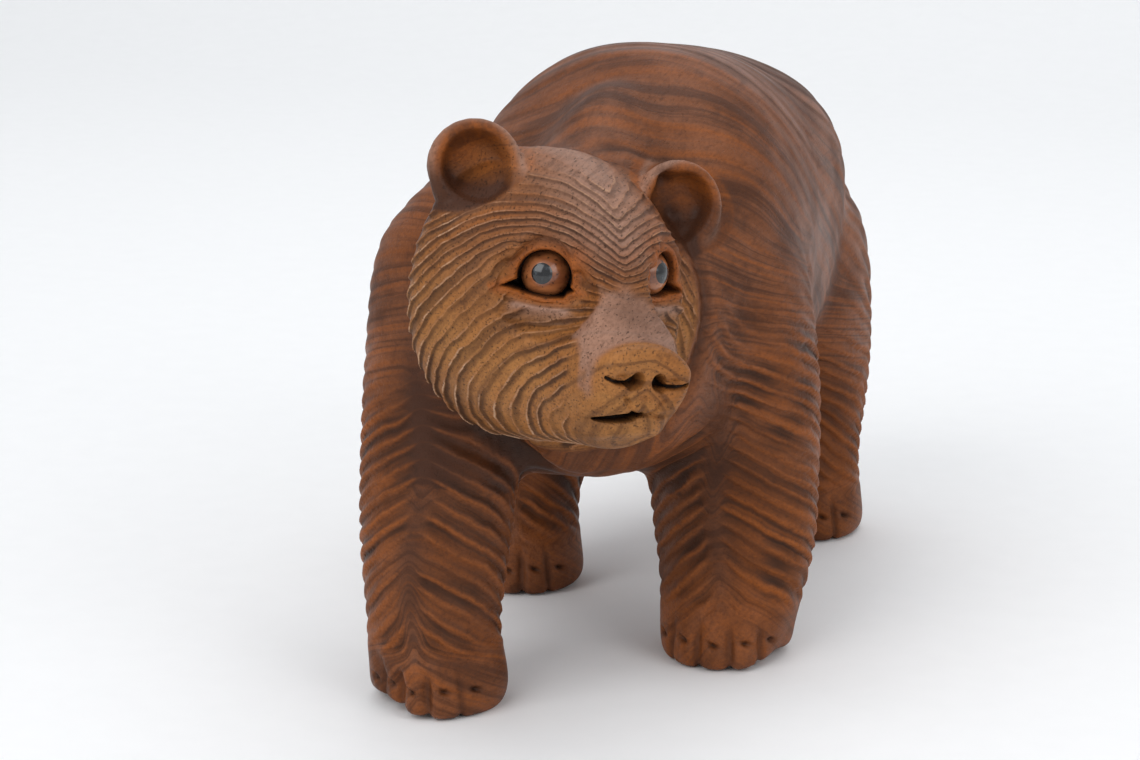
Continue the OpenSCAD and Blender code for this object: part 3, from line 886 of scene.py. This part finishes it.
def stained_wood():
    m = Nodes("stained_carved_wood")
    stroke, depth = m.attribute("stroke"), m.attribute("depth")
    t = m.math("FRACT", stroke)
    cut = m.span(depth, 0.08, 0.6)
    wall = m.math("MULTIPLY", m.span(t, 0.45, 0.8), m.span(t, 0.985, 0.9))
    crest = m.math("MAXIMUM", m.span(t, 0.93, 0.99), m.span(t, 0.14, 0.0))
    blotch = m.noise(38, detail=4, rough=0.6)
    patch = m.noise(14, detail=2)
    grain = m.noise(70, stretch=(6, 0.6, 6), detail=4, rough=0.65)
    fibre = m.noise(260, stretch=(5, 0.5, 5), detail=2, rough=0.5)
    pores = m.noise(1100, stretch=(1.6, 0.5, 1.6), detail=2)
    place = m.add("ShaderNodeSeparateXYZ", {0: m.add("ShaderNodeTexCoord").outputs["Object"]})
    along = m.math("MULTIPLY", m.math("ADD", place.outputs[0], place.outputs[2]), 13)
    plain = m.attribute("tone_plain")
    fine = m.math("ADD", 1.15, m.math("MULTIPLY", plain, 1.5))
    flow = m.add("ShaderNodeCombineXYZ", {0: m.math("MULTIPLY", stroke, fine),
                                          1: m.math("MULTIPLY", place.outputs[1], 13), 2: along})
    streak = m.add("ShaderNodeTexNoise", {"Vector": flow.outputs[0], "Scale": 1.0, "Detail": 3.0,
                                          "Roughness": 0.55}).outputs["Fac"]
    soft = m.attribute("tone_soft")
    trough = m.math("MULTIPLY", m.math("MULTIPLY", t, m.math("SUBTRACT", 1.0, t)), 4.0)
    colour = m.mix(m.span(blotch, 0.38, 0.72), CHOCOLATE, DARK)
    colour = m.mix(m.span(streak, 0.5, 0.68, 0, 0.42), colour, ORANGE)
    colour = m.mix(m.span(streak, 0.5, 0.34, 0, 0.5), colour, DARK)
    colour = m.mix(m.span(patch, 0.45, 0.75, 0, 0.35), colour, ORANGE)
    orange = m.math("MULTIPLY", m.attribute("tone_orange"), m.span(grain, 0.3, 0.6, 0.5, 1))
    colour = m.mix(orange, colour, ORANGE)
    ochre = m.math("MULTIPLY", m.attribute("tone_ochre"), m.span(blotch, 0.3, 0.65, 1, 0.6))
    colour = m.mix(ochre, colour, OCHRE)
    colour = m.mix(m.span(streak, 0.52, 0.34, 0, 0.5), colour, DARK)
    colour = m.mix(m.attribute("tone_mauve"), colour, MAUVE)
    colour = m.mix(m.attribute("tone_lid"), colour, LID)
    colour = m.mix(m.attribute("tone_dark_and_shade"), colour, DARK)
    # crests are worn light and carry a painted highlight; the wall under each crest keeps the dark staining
    # and a painted shade line
    off_soft = m.math("SUBTRACT", 1.0, m.math("MULTIPLY", soft, 0.75))
    wear_and_highlight = m.math("MULTIPLY", m.math("MULTIPLY", crest, cut), off_soft)
    # the proud parts between soft gouges are lighter: partly wear, partly painted highlight
    proud = m.math("MULTIPLY", m.span(trough, 0.6, 0.15), m.math("MULTIPLY", soft, m.span(depth, 0.5, 1.3)))
    colour = m.mix(m.math("MULTIPLY", proud, 0.4), colour, ORANGE)
    colour = m.mix(m.math("MULTIPLY", wear_and_highlight, 0.3), colour, ORANGE)
    broken = m.math("MULTIPLY", m.attribute("tone_dust_and_highlight"), m.span(m.noise(150, detail=3), 0.4, 0.6, 0.2, 1))
    colour = m.mix(m.math("MULTIPLY", wear_and_highlight, broken), colour, DUST_AND_HIGHLIGHT)
    # the wall under each crest is darkened: staining, and a painted shade line
    stain_and_shade = m.math("MULTIPLY", m.math("MULTIPLY", wall, cut), m.span(blotch, 0.25, 0.6, 0.35, 0.8))
    stain_and_shade = m.math("MULTIPLY", stain_and_shade, m.math("SUBTRACT", 1.0, soft))
    # the deep troughs of the soft gouges are darker: staining, and painted shade
    deep = m.math("MULTIPLY", m.span(trough, 0.45, 0.95), m.span(depth, 0.45, 1.4))
    gouged = m.math("MULTIPLY", m.math("MULTIPLY", deep, soft), m.span(streak, 0.7, 0.4, 0.45, 0.95))
    stain_and_shade = m.math("ADD", stain_and_shade, gouged)
    colour = m.mix(stain_and_shade, colour, GROOVE)
    colour = m.mix(m.span(grain, 0.5, 0.75, 0, 0.5), colour, DARK)
    colour = m.mix(m.span(fibre, 0.35, 0.7, 0, 0.25), colour, DARK)
    specks = m.math("MULTIPLY", m.span(pores, 0.59, 0.69, 0, 0.65), off_soft)
    colour = m.mix(specks, colour, GROOVE)
    # painted shade, near black, in the eye gaps, nostrils, mouth slit and claw nicks
    colour = m.mix(m.attribute("tone_hole_shade"), colour, HOLE_SHADE)
    m.put(m.shader.inputs["Base Color"], colour)
    rough = m.span(blotch, 0.3, 0.7, 0.42, 0.58)
    m.put(m.shader.inputs["Roughness"], rough)
    m.put(m.shader.inputs["Specular IOR Level"], 0.14)
    m.put(m.shader.inputs["Coat Weight"], 0.04)
    m.put(m.shader.inputs["Coat Roughness"], 0.35)
    height = m.math("MULTIPLY", fibre, 0.35)
    height = m.math("ADD", height, m.math("MULTIPLY", grain, 0.5))
    height = m.math("SUBTRACT", height, m.span(pores, 0.55, 0.75, 0, 0.5))
    m.put(m.shader.inputs["Normal"], m.bump(height, 0.0003, 0.7))
    return m.material


def eye_wood():
    m = Nodes("turned_eye_wood")
    speck = m.noise(900, detail=2)
    ring = m.noise(120, stretch=(1, 1, 3), detail=3)
    colour = m.mix(m.span(ring, 0.35, 0.7), EYE_LIGHT, EYE_DARK)
    colour = m.mix(m.span(speck, 0.62, 0.7, 0, 0.9), colour, EYE_SPECK)
    m.put(m.shader.inputs["Base Color"], colour)
    m.put(m.shader.inputs["Roughness"], 0.3)
    m.put(m.shader.inputs["Coat Weight"], 0.4)
    m.put(m.shader.inputs["Coat Roughness"], 0.12)
    m.put(m.shader.inputs["Normal"], m.bump(ring, 0.0001, 0.5))
    return m.material


def pupil_black():
    m = Nodes("black_pupil")
    scuff = m.noise(420, detail=4, rough=0.6)
    # grey-blue scuffs on the black: partly scuffs, partly a painted reflection
    m.put(m.shader.inputs["Base Color"], m.mix(m.span(scuff, 0.52, 0.64), PUPIL, PUPIL_SCUFF_AND_GLINT))
    m.put(m.shader.inputs["Roughness"], m.span(scuff, 0.3, 0.7, 0.08, 0.3))
    m.put(m.shader.inputs["Coat Weight"], 0.5)
    m.put(m.shader.inputs["Coat Roughness"], 0.08)
    m.put(m.shader.inputs["Normal"], m.bump(scuff, 0.00005, 0.4))
    return m.material


def white_paper():
    m = Nodes("white_paper")
    fibres = m.noise(90, detail=4)
    m.put(m.shader.inputs["Base Color"], m.mix(fibres, *PAPER))
    m.put(m.shader.inputs["Roughness"], 0.7)
    return m.material


def cap(name, centre, gaze, radius, reach, bulge=0.0):
    """Part of a ball around the direction of gaze, out to an angle of reach degrees."""
    rings, around = 40, 72
    side = unit(np.cross(gaze, [0.0, 0.0, 1.0]))
    top = np.cross(side, gaze)
    a = np.radians(reach) * np.arange(1, rings + 1) / rings
    f = 2 * math.pi * np.arange(around) / around
    A, F = np.meshgrid(a, f, indexing="ij")
    r = radius + bulge * np.cos(A / np.radians(reach) * math.pi / 2)
    p = centre + (r * np.cos(A))[..., None] * gaze + (r * np.sin(A))[..., None] * (
        np.cos(F)[..., None] * side + np.sin(F)[..., None] * top)
    co = np.concatenate([[centre + (radius + bulge) * gaze], p.reshape(-1, 3)])
    tri = [(0, 1 + (k + 1) % around, 1 + k) for k in range(around)]
    for i in range(rings - 1):
        for k in range(around):
            q, w = 1 + i * around + k, 1 + i * around + (k + 1) % around
            tri += [(q, w, q + around), (w, w + around, q + around)]
    return mesh_object(name, co, np.array(tri))


body.data.materials.append(stained_wood())
wood, black = eye_wood(), pupil_black()
for side, word in ((-1, "right"), (1, "left")):
    outward, upward = (math.radians(v) for v in LOOK[side])
    straight = from_head(np.array([math.sin(side * EYE_SPLAY), -math.cos(EYE_SPLAY), 0.0]))
    gaze = from_head(np.array([math.sin(side * outward) * math.cos(upward),
                               -math.cos(outward) * math.cos(upward), math.sin(upward)]))
    outer = from_head(side * np.array([math.cos(side * EYE_SPLAY), math.sin(side * EYE_SPLAY), 0.0]))
    shift, back = BALL_SHIFT[side]
    centre = HEAD_CENTRE + from_head(EYES[side]) + shift * outer - back * straight
    ball = cap(word + "_eyeball", centre, gaze, BALL_RADIUS, 175)
    edge = math.degrees(math.asin(PUPIL_RADIUS / BALL_RADIUS))
    pupil = cap(word + "_pupil_inlay", centre, gaze, BALL_RADIUS + 0.02, edge, 0.12)
    for o, material, node, slot in ((ball, wood, "_eye", "eye_wood"),
                                    (pupil, black, "_pupil", "pupil_black")):
        o.data.materials.append(material)
        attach(o, "root")
        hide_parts(word + node)

# ---------------------------------------------------------------- stage

SWEEP_STEPS = 32


def stage_plane():
    """A floor that sweeps up into the backdrop."""
    bm = bmesh.new()
    rows = []
    for i in range(SWEEP_STEPS + 1):
        t = i / SWEEP_STEPS
        if t < 0.4:
            y, z = -1.6 + t / 0.4 * 2.6, 0.0
        else:
            a = (t - 0.4) / 0.6 * math.pi / 2
            y, z = 1.0 + 1.2 * math.sin(a), 1.2 - 1.2 * math.cos(a)
        rows.append([bm.verts.new((x, y, z)) for x in (-4, 4)])
    for z in (1.8, 3.0):
        rows.append([bm.verts.new((x, 2.2, z)) for x in (-4, 4)])
    for r0, r1 in zip(rows, rows[1:]):
        bm.faces.new((r0[0], r0[1], r1[1], r1[0]))
    m = bpy.data.meshes.new("paper_sweep")
    bm.to_mesh(m)
    bm.free()
    m.shade_smooth()
    o = bpy.data.objects.new("paper_sweep", m)
    bpy.context.scene.collection.objects.link(o)
    return o


floor = stage_plane()
floor.data.materials.append(white_paper())


def area_light(name, place, target, size, power):
    light = bpy.data.lights.new(name, "AREA")
    light.shape = "RECTANGLE"
    light.size, light.size_y = size
    light.energy = power
    o = bpy.data.objects.new(name, light)
    o.location = place
    o.rotation_euler = (Vector(target) - Vector(place)).to_track_quat("-Z", "Y").to_euler()
    bpy.context.scene.collection.objects.link(o)


LIT = (0, 0, 0.08)  # the middle of the bear
area_light("key", (-0.8, -1.7, 1.5), LIT, (1.7, 1.7), 23)
area_light("fill", (1.1, -0.7, 0.8), LIT, (0.8, 0.8), 4)
area_light("backdrop", (0, 0.7, 1.6), (0, 2.2, 0.5), (2.0, 0.8), 3.5)
area_light("top", (0.1, 0.3, 1.5), LIT, (1.2, 1.2), 5.5)
world = bpy.data.worlds.new("World")
world.use_nodes = True
background = world.node_tree.nodes["Background"].inputs
background["Color"].default_value = (0.95, 0.97, 1, 1)
background["Strength"].default_value = 0.64
bpy.context.scene.world = world
bpy.context.scene.view_settings.view_transform = "Standard"

cam = bpy.data.cameras.new("Camera")
cam.lens, cam.sensor_width = 94.74, 36
az, el, dist = math.radians(15.4), math.radians(14), 0.9
target = Vector((-0.0165, -0.018, 0.076))
camera = bpy.data.objects.new("Camera", cam)
camera.location = target + dist * Vector(
    (math.sin(az) * math.cos(el), -math.cos(az) * math.cos(el), math.sin(el)))
camera.rotation_euler = (target - camera.location).to_track_quat("-Z", "Y").to_euler()
bpy.context.scene.collection.objects.link(camera)
bpy.context.scene.camera = camera
